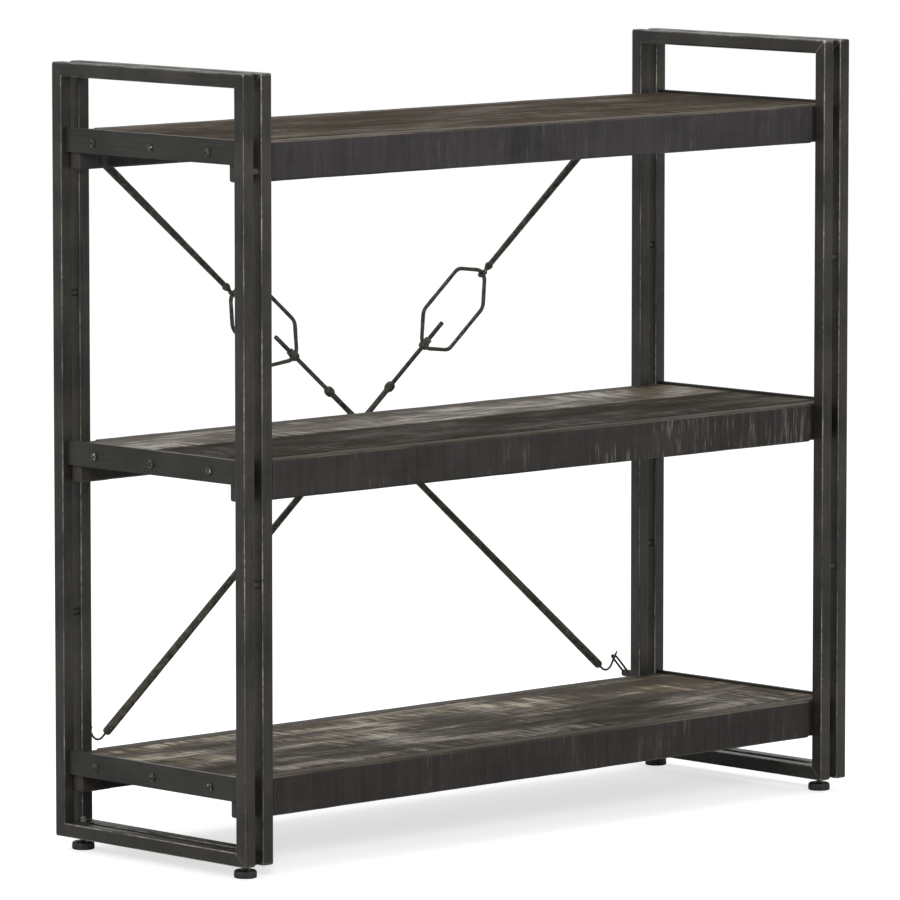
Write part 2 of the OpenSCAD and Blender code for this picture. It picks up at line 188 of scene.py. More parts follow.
def piece(name, shells, material, body, nodes, crease=35):
    """One object from closed skins: joins them, shades them smooth up to the crease angle, sets
    its finish and the body it rides on, and hides the nodes it stands for."""
    base, points, faces, marks = 0, [], [], []
    for p, quads, fans, m in shells:
        faces += (quads + base).tolist() + (fans + base).tolist()
        base += len(p)
        points.append(p)
        marks.append(m)
    mesh = bpy.data.meshes.new(name)
    mesh.from_pydata(np.concatenate(points), [], faces)
    mesh.attributes.new("marks", "FLOAT_VECTOR", "POINT").data.foreach_set(
        "vector", np.concatenate(marks).astype(np.float32).ravel())
    mesh.shade_smooth()
    mesh.set_sharp_from_angle(angle=math.radians(crease))
    mesh.materials.append(material)
    made = bpy.data.objects.new(name, mesh)
    bpy.context.scene.collection.objects.link(made)
    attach(made, body)
    if nodes:
        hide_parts(*nodes)
    return made


def loop_skin(box, r=0.002):
    """Square tube carried round a rectangle in the YZ plane. A profile point at depth t from the
    outer face turns each corner at its mitre point, on an arc that is 1.6 mm at the outer
    face and nearly sharp from 4 mm in, as the ground weld is."""
    low, high = (np.array(c) for c in box)
    tube = high[0] - low[0]
    outline, _, arris = round_rect(tube, tube, r)
    x, t = outline[:, 0] + tube / 2 + low[0], outline[:, 1] + tube / 2
    soft = 0.00006 + 0.0016 * np.clip(1 - t / 0.004, 0, 1)
    corners = np.array([low[1:], [high[1], low[2]], high[1:], [low[1], high[2]]])
    near = np.array([0.0006, 0.002, 0.005, 0.012])
    rows, wear = [], []
    for k in range(4):
        run = corners[(k + 1) % 4] - corners[k]
        length = np.linalg.norm(run)
        run = run / length
        inward = np.array([-run[1], run[0]])
        middle = corners[k] + np.outer(t + soft, run) + np.outer(t + soft, inward)
        for a in np.linspace(0, math.pi / 2, 5):
            rows.append(middle - soft[:, None] * (math.cos(a) * run + math.sin(a) * inward))
            wear.append(arris + 0.6)
        count = max(3, int(length / 0.05))
        first, last = t + soft, length - t - soft
        edges = arris * (1.6 if k == 0 else 1.0)
        weld = 0.7 * np.exp(-near / 0.0025)
        for s, more in ([(first + d, w) for d, w in zip(near, weld)]
                        + [(first + 0.012 + (last - first - 0.024) * f, 0)
                           for f in np.linspace(0, 1, count)[1:-1]]
                        + [(last - d, w) for d, w in zip(near[::-1], weld[::-1])]):
            rows.append(corners[k] + np.outer(s, run) + np.outer(t, inward))
            wear.append(np.maximum(edges, more))
    rows = np.array(rows)
    grid = np.concatenate([np.broadcast_to(x, rows.shape[:2])[..., None], rows], 2)
    return shell(grid, np.array(wear), ring=True)


def blackened_steel(name, dark, light, bare_and_glint, wear, grain=1.0):
    """Blackened mild steel under wax: near-black with a broad mottle, fine drawn lines along the
    tube, and steel showing through on the arrises where hands and feet rub."""
    made = bpy.data.materials.new(name)
    made.use_nodes = True
    tree = made.node_tree
    tree.nodes.clear()
    place = add(tree, "ShaderNodeTexCoord", {}).outputs["Object"]
    marks = add(tree, "ShaderNodeAttribute", {"attribute_name": "marks"}).outputs["Vector"]
    arris = add(tree, "ShaderNodeSeparateXYZ", {0: marks}).outputs[2]
    # broad mottle, 60 to 90 mm across, from uneven blackening
    mottle = add(tree, "ShaderNodeTexNoise", {"Vector": place, "Scale": 14.0, "Detail": 5.0,
                                              "Roughness": 0.6}).outputs["Fac"]
    # drawn lines along the tube, about 1 mm wide and 60 mm long
    lay = add(tree, "ShaderNodeVectorMath", {"operation": "MULTIPLY", 0: marks,
                                             1: (16.0, 900.0 * grain, 0.0)}).outputs[0]
    lay = add(tree, "ShaderNodeVectorMath", {"operation": "ADD", 0: lay, 1: place}).outputs[0]
    drawn = add(tree, "ShaderNodeTexNoise", {"Vector": lay, "Scale": 1.0, "Detail": 3.0,
                                             "Roughness": 0.55}).outputs["Fac"]
    tone = add(tree, "ShaderNodeMath", {"operation": "MULTIPLY_ADD", 0: drawn, 1: 0.45,
                                        2: mottle}).outputs[0]
    tone = add(tree, "ShaderNodeMapRange",
               {"Value": tone, "From Min": 0.55, "From Max": 0.9}).outputs[0]
    colour = add(tree, "ShaderNodeMix", {"data_type": "RGBA", "Factor": tone,
                                         6: linear(dark), 7: linear(light)}).outputs[2]
    # rubbed arrises: the patches are 30 to 120 mm long and come and go along the tube
    patch = add(tree, "ShaderNodeVectorMath", {"operation": "MULTIPLY", 0: place,
                                               1: (30.0, 30.0, 11.0)}).outputs[0]
    patch = add(tree, "ShaderNodeTexNoise", {"Vector": patch, "Scale": 1.0, "Detail": 4.0,
                                             "Roughness": 0.62}).outputs["Fac"]
    brow = add(tree, "ShaderNodeMath", {"operation": "POWER", 0: arris, 1: 0.55}).outputs[0]
    rub = add(tree, "ShaderNodeMath", {"operation": "MULTIPLY", 0: brow, 1: patch}).outputs[0]
    rub = add(tree, "ShaderNodeMapRange", {"Value": rub, "From Min": 0.62 - wear,
                                           "From Max": 0.92 - wear}).outputs[0]
    speck = add(tree, "ShaderNodeTexNoise",
                {"Vector": place, "Scale": 190.0, "Detail": 3.0}).outputs["Fac"]
    fleck = add(tree, "ShaderNodeMapRange", {"Value": speck, "From Min": 0.3, "From Max": 0.58,
                                             "To Min": 0.25}).outputs[0]
    rub = add(tree, "ShaderNodeMath", {"operation": "MULTIPLY", 0: rub, 1: fleck}).outputs[0]
    colour = add(tree, "ShaderNodeMix", {"data_type": "RGBA", "Factor": rub, 6: colour,
                                         7: linear(bare_and_glint)}).outputs[2]
    rough = add(tree, "ShaderNodeMapRange",
                {"Value": tone, "To Min": 0.5, "To Max": 0.36}).outputs[0]
    height = add(tree, "ShaderNodeMath", {"operation": "MULTIPLY_ADD", 0: drawn, 1: 0.35,
                                          2: mottle}).outputs[0]
    bump = add(tree, "ShaderNodeBump", {"Strength": 0.35, "Distance": 0.0012, "Height": height})
    shade = add(tree, "ShaderNodeBsdfPrincipled", {
        "Base Color": colour, "Roughness": rough, "Metallic": rub, "Specular IOR Level": 0.42,
        "Normal": bump.outputs[0]})
    add(tree, "ShaderNodeOutputMaterial", {"Surface": shade.outputs[0]})
    return made


tube_steel = blackened_steel("blackened_waxed_tube_steel", "#11100d", "#3b3831", "#a8a499", 0.27)
for node in ("left_outer_loop", "left_inner_loop", "right_inner_loop", "right_outer_loop"):
    piece(node + "_tube", [loop_skin(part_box(node))], tube_steel, "frame", [node])

# ---- Spacers and foot blocks ----
# Stubs of 8 mm round bar join the two loops across their gap, and a threaded block sits
# between the bottom rails at each foot. Both are welded in and blackened with the frame.
stub_steel = blackened_steel("rubbed_stub_steel", "#1f1e1b", "#45433d", "#b5b1a6", 0.3)
for node in ("left_loop_spacers", "right_loop_spacers", "foot_blocks"):
    frame["nodes"][node].data.materials.clear()
    frame["nodes"][node].data.materials.append(stub_steel if "spacers" in node else tube_steel)

# ---- Side rails ----
# Flat bar 26 x 5 mm, sheared to length and welded between the posts under each shelf end.
# Its edges are only lightly eased and carry thin rubbed lines.


def ripple(u, v, seed, longest, count=7):
    """Smooth noise from -1 to 1: a sum of sine products whose wavelengths fall from the
    longest by a third each time, with phases from the seed."""
    turn = np.random.default_rng(seed).uniform(0, 2 * math.pi, (count, 3))
    total = np.zeros(np.broadcast(u, v).shape)
    for k in range(count):
        wave = 2 * math.pi / (longest * 0.62 ** k)
        total += 0.75 ** k * np.sin(wave * u + turn[k, 0]) * np.sin(
            wave * 0.9 * v + turn[k, 1] + np.sin(wave * 0.3 * u + turn[k, 2]))
    return total / sum(0.75 ** k for k in range(count))


def bar_skin(low, high, ease, axis, step=0.012, rough=0.0, worn=0.0, seed=1, front=None):
    """Bar or board with eased edges along one axis. The outline is inset by rough times a smooth
    noise, never outwards, and by a further worn on its arrises; quarter-round rows end it.
    front gives, for the distance along from the middle, how far the low side steps in."""
    low, high = np.array(low), np.array(high)
    cross = [k for k in range(3) if k != axis]
    size = (high - low)[cross]
    centre = ((high + low) / 2)[cross]
    outline, normal, arris = round_rect(size[0], size[1], ease, flat=8)
    length = high[axis] - low[axis]
    inset = ease * (1 - np.sin(np.linspace(0, math.pi / 2, 4)[:-1]))
    travel = ease * (1 - np.cos(np.linspace(0, math.pi / 2, 4)[:-1]))
    count = max(4, int(length / step))
    s = np.concatenate([travel, ease + (length - 2 * ease) * np.linspace(0, 1, count),
                        length - travel[::-1]])
    shrink = np.concatenate([inset, np.zeros(count), inset[::-1]]) * 0.96
    cut = np.zeros(len(s))
    if front is not None:
        extra = np.array([front[0] - 1e-5, front[0] + 1e-5, front[1] - 1e-5, front[1] + 1e-5])
        s = np.concatenate([s, extra - low[axis]])
        shrink = np.concatenate([shrink, np.zeros(4)])
        order = np.argsort(s)
        s, shrink = s[order], shrink[order]
        cut = np.where((s + low[axis] < front[0]) | (s + low[axis] > front[1]), front[2], 0.0)
    around = np.concatenate([[0], np.cumsum(np.linalg.norm(np.diff(outline, axis=0), axis=1))])
    u, v = s[:, None], around[None]
    dip = rough * (0.5 + 0.5 * ripple(u, v, seed, 0.21))
    dip = dip + worn * arris[None] * (0.5 + 0.5 * ripple(u, v * 0, seed + 7, 0.13))
    flat = outline[None] - normal[None] * (dip + shrink[:, None])[..., None]
    first = flat[..., 0]
    if front is not None:
        side = front[3]
        share = np.clip((first * side + size[0] / 2) / (size[0] / 2), 0, 1)
        first = first - side * cut[:, None] * share
    grid = np.zeros((len(s), len(outline), 3))
    grid[..., axis] = (s + low[axis])[:, None]
    grid[..., cross[0]] = first + centre[0]
    grid[..., cross[1]] = flat[..., 1] + centre[1]
    return shell(grid, np.broadcast_to(arris, grid.shape[:2]))


flat_steel = blackened_steel("blackened_waxed_flat_bar", "#141410", "#302e27", "#a09d92", 0.14, 0.6)
for level in ("bottom", "middle", "top"):
    for hand in ("left", "right"):
        node = level + "_" + hand + "_rail"
        low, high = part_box(node)
        piece(node + "_bar", [bar_skin(low, high, 0.0005, 1, rough=0.00008, seed=3)],
              flat_steel, "frame", [node])

# ---- Rail screws ----
# Cross-recessed wood screws with domed heads, driven through the rails into the shelf ends.
# They were blackened with the rails, and the driver and hands have rubbed the heads.
screw_steel = bpy.data.materials.new("rubbed_screw_steel")
screw_steel.use_nodes = True
tree = screw_steel.node_tree
tree.nodes.clear()
place = add(tree, "ShaderNodeTexCoord", {}).outputs["Object"]
# rubbed patches are 1 to 3 mm across
patch = add(tree, "ShaderNodeTexNoise", {"Vector": place, "Scale": 260.0, "Detail": 3.0,
                                         "Roughness": 0.6}).outputs["Fac"]
bare_and_glint = add(tree, "ShaderNodeMapRange",
           {"Value": patch, "From Min": 0.53, "From Max": 0.64}).outputs[0]
colour = add(tree, "ShaderNodeMix", {"data_type": "RGBA", "Factor": bare_and_glint, 6: linear("#22211e"),
                                     7: linear("#a9a59a")}).outputs[2]
bump = add(tree, "ShaderNodeBump", {"Strength": 0.4, "Distance": 0.0004, "Height": patch})
shade = add(tree, "ShaderNodeBsdfPrincipled", {"Base Color": colour, "Metallic": bare_and_glint,
                                               "Roughness": 0.38, "Normal": bump.outputs[0]})
add(tree, "ShaderNodeOutputMaterial", {"Surface": shade.outputs[0]})
for level in ("bottom", "middle", "top"):
    heads = frame["nodes"][level + "_rail_screws"].data.materials
    heads.clear()
    heads.append(screw_steel)

# ---- Aprons ----
# Boards on edge along the front and the rear of each shelf, band-sawn and left so: close
# upright saw marks, charcoal stain, and waxed. Each narrows beside the posts to pass behind them.


def sawn_timber(name, dark, mid, pale, mark, crown=None, worn_end=0.0):
    """Band-sawn hardwood stained charcoal: upright saw marks 3 to 9 mm apart across a faint
    lengthwise grain, scuffed pale on the proud ridges and on the arrises. crown is the height of
    a planed brown upper face; worn_end adds scuffing towards the right-hand end."""
    made = bpy.data.materials.new(name)
    made.use_nodes = True
    tree = made.node_tree
    tree.nodes.clear()
    place = add(tree, "ShaderNodeTexCoord", {}).outputs["Object"]
    marks = add(tree, "ShaderNodeAttribute", {"attribute_name": "marks"}).outputs["Vector"]
    arris = add(tree, "ShaderNodeSeparateXYZ", {0: marks}).outputs[2]

    def streaks(scale, detail, rough, low, high):
        at = add(tree, "ShaderNodeVectorMath",
                 {"operation": "MULTIPLY", 0: place, 1: scale}).outputs[0]
        fac = add(tree, "ShaderNodeTexNoise", {"Vector": at, "Scale": 1.0, "Detail": detail,
                                               "Roughness": rough}).outputs["Fac"]
        return add(tree, "ShaderNodeMapRange",
                   {"Value": fac, "From Min": low, "From Max": high}).outputs[0]

    # the marks lean and wander a little, as the blade does
    lean = add(tree, "ShaderNodeTexNoise",
               {"Vector": place, "Scale": 22.0, "Detail": 2.0}).outputs["Color"]
    lean = add(tree, "ShaderNodeVectorMath", {"operation": "MULTIPLY", 0: lean,
                                              1: (0.005, 0.0, 0.0)}).outputs[0]
    even = place
    place = add(tree, "ShaderNodeVectorMath", {"operation": "ADD", 0: place, 1: lean}).outputs[0]
    saw = streaks((125.0, 30.0, 11.0), 5.0, 0.72, 0.3, 0.72)
    fine = streaks((480.0, 90.0, 30.0), 3.0, 0.6, 0.35, 0.7)
    place = even
    patch = streaks((9.0, 9.0, 14.0), 4.0, 0.6, 0.35, 0.68)
    grain = streaks((7.0, 200.0, 200.0), 5.0, 0.65, 0.3, 0.7)
    cloud = streaks((11.0, 8.0, 16.0), 4.0, 0.6, 0.3, 0.7)
    tone = add(tree, "ShaderNodeMath",
               {"operation": "MULTIPLY_ADD", 0: saw, 1: 0.42, 2: 0.0}).outputs[0]
    tone = add(tree, "ShaderNodeMath",
               {"operation": "MULTIPLY_ADD", 0: fine, 1: 0.14, 2: tone}).outputs[0]
    tone = add(tree, "ShaderNodeMath",
               {"operation": "MULTIPLY_ADD", 0: grain, 1: 0.1, 2: tone}).outputs[0]
    tone = add(tree, "ShaderNodeMath",
               {"operation": "MULTIPLY_ADD", 0: cloud, 1: 0.34, 2: tone}).outputs[0]
    colour = add(tree, "ShaderNodeMix", {"data_type": "RGBA", "Factor": tone,
                                         6: linear(dark), 7: linear(mid)}).outputs[2]
    reach = add(tree, "ShaderNodeSeparateXYZ", {0: place}).outputs[0]
    reach = add(tree, "ShaderNodeMapRange", {"Value": reach, "From Min": -0.05, "From Max": 0.3,
                                             "To Max": worn_end}).outputs[0]
    patch = add(tree, "ShaderNodeMath", {"operation": "ADD", 0: patch, 1: reach}).outputs[0]
    scuff = add(tree, "ShaderNodeMath", {"operation": "MULTIPLY", 0: saw, 1: patch}).outputs[0]
    scuff = add(tree, "ShaderNodeMath", {"operation": "MULTIPLY", 0: scuff, 1: fine}).outputs[0]
    scuff = add(tree, "ShaderNodeMapRange", {"Value": scuff, "From Min": 0.25, "From Max": 0.8,
                                             "To Max": mark}).outputs[0]
    colour = add(tree, "ShaderNodeMix", {"data_type": "RGBA", "Factor": scuff, 6: colour,
                                         7: linear(pale)}).outputs[2]
    edge = add(tree, "ShaderNodeMath", {"operation": "MULTIPLY", 0: arris, 1: grain}).outputs[0]
    edge = add(tree, "ShaderNodeMapRange", {"Value": edge, "From Min": 0.25, "From Max": 0.8,
                                            "To Max": 0.6}).outputs[0]
    colour = add(tree, "ShaderNodeMix", {"data_type": "RGBA", "Factor": edge, 6: colour,
                                         7: linear(pale)}).outputs[2]
    # sawn ends past the rails are bare of stain
    far = add(tree, "ShaderNodeSeparateXYZ", {0: place}).outputs[0]
    far = add(tree, "ShaderNodeMath", {"operation": "ABSOLUTE", 0: far}).outputs[0]
    far = add(tree, "ShaderNodeMapRange",
              {"Value": far, "From Min": 0.4385, "From Max": 0.4393}).outputs[0]
    colour = add(tree, "ShaderNodeMix", {"data_type": "RGBA", "Factor": far, 6: colour,
                                         7: linear("#47423e")}).outputs[2]
    if crown is not None:
        fibre = streaks((14.0, 300.0, 300.0), 4.0, 0.65, 0.3, 0.7)
        planed = add(tree, "ShaderNodeMix", {"data_type": "RGBA", "Factor": fibre,
                                             6: linear("#261f18"), 7: linear("#4e4334")}).outputs[2]
        level_up = add(tree, "ShaderNodeSeparateXYZ", {0: place}).outputs[2]
        level_up = add(tree, "ShaderNodeMapRange", {
            "Value": level_up, "From Min": crown - 0.0026, "From Max": crown - 0.0014}).outputs[0]
        colour = add(tree, "ShaderNodeMix", {"data_type": "RGBA", "Factor": level_up, 6: colour,
                                             7: planed}).outputs[2]
        ridge = add(tree, "ShaderNodeMath",
                    {"operation": "MULTIPLY", 0: edge, 1: level_up}).outputs[0]
        colour = add(tree, "ShaderNodeMix", {"data_type": "RGBA", "Factor": ridge, 6: colour,
                                             7: linear("#b3a898")}).outputs[2]
    height = add(tree, "ShaderNodeMath",
                 {"operation": "MULTIPLY_ADD", 0: saw, 1: 1.0, 2: fine}).outputs[0]
    bump = add(tree, "ShaderNodeBump", {"Strength": 0.5, "Distance": 0.0006, "Height": height})
    rough = add(tree, "ShaderNodeMapRange",
                {"Value": tone, "To Min": 0.72, "To Max": 0.5}).outputs[0]
    shade = add(tree, "ShaderNodeBsdfPrincipled", {
        "Base Color": colour, "Roughness": rough, "Specular IOR Level": 0.25,
        "Normal": bump.outputs[0]})
    add(tree, "ShaderNodeOutputMaterial", {"Surface": shade.outputs[0]})
    return made


post_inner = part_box("right_inner_loop")[0].x - 0.009
for level, seed, mark, dark, mid in (("bottom", 11, 0.35, "#191715", "#3f3b39"),
                                     ("middle", 23, 0.8, "#1b1917", "#423f3d"),
                                     ("top", 37, 0.4, "#211f20", "#4c484a")):
    stain = sawn_timber(level + "_sawn_stained_timber", dark, mid, "#958d84", mark,
                        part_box(level + "_front_apron")[1].z, 0.5 if level == "middle" else 0.12)
    for where, side in (("front", -1), ("rear", 1)):
        node = level + "_" + where + "_apron"
        low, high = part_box(node)
        skin = bar_skin(low, high, 0.0028, 0, step=0.004, rough=0.0007, worn=0.0012,
                        seed=seed + side, front=(-post_inner, post_inner, 0.007, side))
        piece(node + "_board", [skin], stain, "frame", [node], crease=40)

# ---- Planks ----
# Each shelf top is old boards laid between the aprons, planed and brushed so the hard grain stands
# up, stained grey-brown and waxed to a low shine that catches light at a low angle. The cream
# streaks on the proud grain and on the saw-rib tops are painted glint.


def brushed_timber(name, dark, mid, pale, bare_and_glint, relief, gloss, matt, shine, sawn):
    """Brushed and waxed hardwood: fibres under 1 mm wide drawn as coarse as 2 mm so they show,
    bands of tone 15 to 40 mm wide, short dark checks, and wax that is glossier on the proud
    grain."""
    made = bpy.data.materials.new(name)
    made.use_nodes = True
    tree = made.node_tree
    tree.nodes.clear()
    place = add(tree, "ShaderNodeTexCoord", {}).outputs["Object"]
    sway = add(tree, "ShaderNodeTexNoise",
               {"Vector": place, "Scale": 5.0, "Detail": 2.0}).outputs["Color"]
    sway = add(tree, "ShaderNodeVectorMath", {"operation": "MULTIPLY", 0: sway,
                                              1: (0.0, 0.03, 0.0)}).outputs[0]
    place = add(tree, "ShaderNodeVectorMath", {"operation": "ADD", 0: place, 1: sway}).outputs[0]

    def streaks(scale, detail, rough, low, high):
        at = add(tree, "ShaderNodeVectorMath",
                 {"operation": "MULTIPLY", 0: place, 1: scale}).outputs[0]
        fac = add(tree, "ShaderNodeTexNoise", {"Vector": at, "Scale": 1.0, "Detail": detail,
                                               "Roughness": rough}).outputs["Fac"]
        return add(tree, "ShaderNodeMapRange",
                   {"Value": fac, "From Min": low, "From Max": high}).outputs[0]

    bands = streaks((3.0, 42.0, 42.0), 4.0, 0.6, 0.3, 0.7)
    fibre = streaks((16.0, 340.0, 340.0), 4.0, 0.65, 0.3, 0.7)
    blotch = streaks((6.0, 18.0, 18.0), 5.0, 0.6, 0.38, 0.66)
    checks = streaks((10.0, 260.0, 260.0), 2.0, 0.5, 0.66, 0.74)
    tone = add(tree, "ShaderNodeMath",
               {"operation": "MULTIPLY_ADD", 0: bands, 1: 0.55, 2: 0.0}).outputs[0]
    tone = add(tree, "ShaderNodeMath",
               {"operation": "MULTIPLY_ADD", 0: fibre, 1: 0.45, 2: tone}).outputs[0]
    colour = add(tree, "ShaderNodeMix", {"data_type": "RGBA", "Factor": tone,
                                         6: linear(dark), 7: linear(mid)}).outputs[2]
    # painted glint: where fibre and blotch are both high, the colour is mixed towards pale cream.
    # This stands in for reflections off the waxed proud grain, not for bare wood
    light = add(tree, "ShaderNodeMath", {"operation": "MULTIPLY", 0: fibre, 1: blotch}).outputs[0]
    light = add(tree, "ShaderNodeMapRange", {"Value": light, "From Min": 0.3, "From Max": 0.8,
                                             "To Max": bare_and_glint}).outputs[0]
    colour = add(tree, "ShaderNodeMix", {"data_type": "RGBA", "Factor": light, 6: colour,
                                         7: linear(pale)}).outputs[2]
    colour = add(tree, "ShaderNodeMix", {"data_type": "RGBA", "Factor": checks, 6: colour,
                                         7: linear("#0e0c0b")}).outputs[2]
    # saw ribs left across the board, 5 to 10 mm apart; the pale colour on their tops is painted
    # highlight
    ribs = streaks((130.0, 14.0, 14.0), 4.0, 0.68, 0.42, 0.7)
    field = streaks((5.0, 16.0, 16.0), 3.0, 0.6, 0.42, 0.6)
    ribs = add(tree, "ShaderNodeMath", {"operation": "MULTIPLY", 0: ribs, 1: field}).outputs[0]
    ribbed = add(tree, "ShaderNodeMath", {"operation": "MULTIPLY", 0: ribs, 1: sawn}).outputs[0]
    colour = add(tree, "ShaderNodeMix", {"data_type": "RGBA", "Factor": ribbed, 6: colour,
                                         7: linear(pale)}).outputs[2]
    height = add(tree, "ShaderNodeMath",
                 {"operation": "MULTIPLY_ADD", 0: fibre, 1: 0.6, 2: bands}).outputs[0]
    height = add(tree, "ShaderNodeMath", {"operation": "SUBTRACT", 0: height, 1: checks}).outputs[0]
    height = add(tree, "ShaderNodeMath", {"operation": "ADD", 0: height, 1: ribbed}).outputs[0]
    bump = add(tree, "ShaderNodeBump", {"Strength": 0.6, "Distance": relief, "Height": height})
    polish = add(tree, "ShaderNodeMath", {"operation": "MULTIPLY", 0: blotch, 1: fibre}).outputs[0]
    polish = add(tree, "ShaderNodeMath", {"operation": "MAXIMUM", 0: polish, 1: ribs}).outputs[0]
    rough = add(tree, "ShaderNodeMapRange", {"Value": polish, "From Min": 0.05, "From Max": 0.6,
                                             "To Min": matt, "To Max": gloss}).outputs[0]
    shade = add(tree, "ShaderNodeBsdfPrincipled", {
        "Base Color": colour, "Roughness": rough, "Specular IOR Level": shine,
        "Normal": bump.outputs[0]})
    add(tree, "ShaderNodeOutputMaterial", {"Surface": shade.outputs[0]})
    return made


# per board: the pale colour and the share after it set the painted glint, most on the rear boards
# of the lower two shelves; sawn sets the saw ribs and their painted highlight
for node, dark, mid, pale, bare_and_glint, relief, gloss, matt, shine, sawn in (
        ("bottom_front_plank", "#1d1812", "#514535", "#b5a280", 0.7, 0.0010, 0.34, 0.85, 0.2, 0.4),
        ("bottom_rear_plank", "#1b1610", "#584a37", "#d8c59c", 1.0, 0.0014, 0.28, 0.8, 0.3, 1.0),
        ("middle_front_plank", "#241d15", "#453a2c", "#8e7f66", 0.3, 0.0006, 0.5, 0.9, 0.1, 0.05),
        ("middle_rear_plank", "#271f16", "#665640", "#e0cfa8", 1.0, 0.0014, 0.26, 0.7, 0.34, 0.35),
        ("top_front_plank", "#2a231b", "#504434", "#8a7a60", 0.25, 0.0005, 0.55, 0.95, 0.08, 0.03),
        ("top_rear_plank", "#272018", "#493e30", "#83745c", 0.3, 0.0007, 0.55, 0.95, 0.08, 0.06)):
    low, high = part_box(node)
    skin = bar_skin(low, high, 0.0008, 0, step=0.006, rough=0.0006, worn=0.0004,
                    seed=len(node) + ord(node[0]))
    finish = brushed_timber(node + "_brushed_waxed_timber", dark, mid, pale, bare_and_glint, relief, gloss,
                            matt, shine, sawn)
    piece(node + "_board", [skin], finish, "frame", [node], crease=40)

# ---- Battens ----
# Two cross pieces of plain sawn timber under each shelf hold its boards together. They are
# only seen from below, and were left without stain.
batten_timber = sawn_timber("plain_sawn_batten_timber", "#4a3a2b", "#7d6850", "#a08a6c", 0.4)
for level in ("bottom", "middle", "top"):
    battens = frame["nodes"][level + "_battens"].data.materials
    battens.clear()
    battens.append(batten_timber)

# ---- Levelling feet ----
# Moulded nylon pads, 24 mm across, with a fluted rim for the fingers, on zinc-plated M6
# studs that screw up into the foot blocks.


def lathe_skin(start, axis, profile, cols=32, flute=None):
    """Turned form: the profile's rows of distance and radius, carried once round the axis. flute
    is how many waves the rim has and how deep they are, as a share of the radius."""
    axis = np.array(axis, float)
    axis = axis / np.linalg.norm(axis)
    across = np.cross(axis, [0, 1, 0] if abs(axis[1]) < 0.9 else [1, 0, 0])
    across = across / np.linalg.norm(across)
    third = np.cross(axis, across)
    s, r = np.array(profile, float).T
    a = np.linspace(0, 2 * math.pi, cols, endpoint=False)
    r = r[:, None] * np.ones(cols)
    if flute:
        rim = np.clip((r[:, :1] / r.max() - 0.8) / 0.2, 0, 1)
        r = r * (1 - flute[1] * rim * (0.5 - 0.5 * np.cos(flute[0] * a)))
    grid = (np.array(start) + s[:, None, None] * axis
            + r[..., None] * (np.cos(a)[:, None] * across + np.sin(a)[:, None] * third))
    return shell(grid, 0.0)


nylon = bpy.data.materials.new("moulded_black_nylon")
nylon.use_nodes = True
tree = nylon.node_tree
tree.nodes.clear()
place = add(tree, "ShaderNodeTexCoord", {}).outputs["Object"]
# moulded texture of 0.4 mm grit, and dust rubbed into it
grit = add(tree, "ShaderNodeTexNoise",
           {"Vector": place, "Scale": 2200.0, "Detail": 2.0}).outputs["Fac"]
dust = add(tree, "ShaderNodeTexNoise",
           {"Vector": place, "Scale": 120.0, "Detail": 4.0}).outputs["Fac"]
colour = add(tree, "ShaderNodeMix", {"data_type": "RGBA", "Factor": dust, 6: linear("#141414"),
                                     7: linear("#33322f")}).outputs[2]
bump = add(tree, "ShaderNodeBump", {"Strength": 0.3, "Distance": 0.0002, "Height": grit})
shade = add(tree, "ShaderNodeBsdfPrincipled", {"Base Color": colour, "Roughness": 0.5,
                                               "Normal": bump.outputs[0]})
add(tree, "ShaderNodeOutputMaterial", {"Surface": shade.outputs[0]})
zinc = blackened_steel("zinc_plated_stud_steel", "#6a6a66", "#9a9a94", "#c8c8c2", 0.2)
for foot in ("front_left", "front_right", "rear_left", "rear_right"):
    low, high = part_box(foot + "_pad")
    r, h = (high.x - low.x) / 2, high.z - low.z
    bead = np.radians(np.linspace(0, 90, 6))
    profile = ([(0.0, r * 0.3), (0.0, r - 0.0016)]
               + [(0.0014 - 0.0014 * math.cos(a), r - 0.0014 + 0.0014 * math.sin(a)) for a in bead]
               + [(h * 0.45, r)]
               + [(h - 0.0028 + 0.0028 * math.sin(a), r - 0.0028 + 0.0028 * math.cos(a))
                  for a in bead]
               + [(h, r * 0.55), (h, 0.0033)])
    middle = ((low.x + high.x) / 2, (low.y + high.y) / 2, low.z)
    piece(foot + "_pad_moulding", [lathe_skin(middle, (0, 0, 1), profile, 96, (24, 0.05))], nylon,
          foot + "_pad", [foot + "_pad"])
    low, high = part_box(foot + "_stud")
    middle = ((low.x + high.x) / 2, (low.y + high.y) / 2, 0)
    pitch = np.arange(low.z + 0.0035, high.z - 0.001, 0.0005)
    profile = ([(low.z, 0.0043), (low.z + 0.002, 0.0043), (low.z + 0.0022, 0.0026)]
               + [(z, 0.0026 + 0.0004 * (k % 2)) for k, z in enumerate(pitch)]
               + [(high.z, 0.002)])
    piece(foot + "_stud_thread", [lathe_skin(middle, (0, 0, 1), profile)], zinc,
          foot + "_stud", [foot + "_stud"], crease=20)

# ---- Tie rods ----
# Two rods cross behind the posts, each in two lengths of hand-drawn bar that taper from
# 9.6 mm at the hook to 6.2 mm, with a forged collar on the lower one and a ferrule on the
# upper one.
# They were forged, blackened and waxed, so the surface is dimpled and mid-grey.


def swept(path, radius, square, ring=False, cols=16):
    """Round bar along a path: at each point a circle of that radius, square to the path. square
    is a direction at right angles to the whole path."""
    path = np.array(path, float)
    ahead = np.roll(path, -1, 0) - np.roll(path, 1, 0) if ring else np.gradient(path, axis=0)
    ahead /= np.linalg.norm(ahead, axis=1)[:, None]
    square = np.array(square, float)
    other = np.cross(ahead, square)
    a = np.linspace(0, 2 * math.pi, cols, endpoint=False)
    r = np.broadcast_to(radius, len(path))[:, None, None]
    grid = path[:, None] + r * (np.cos(a)[:, None] * other[:, None] + np.sin(a)[:, None] * square)
    return shell(grid, 0.5, ring)


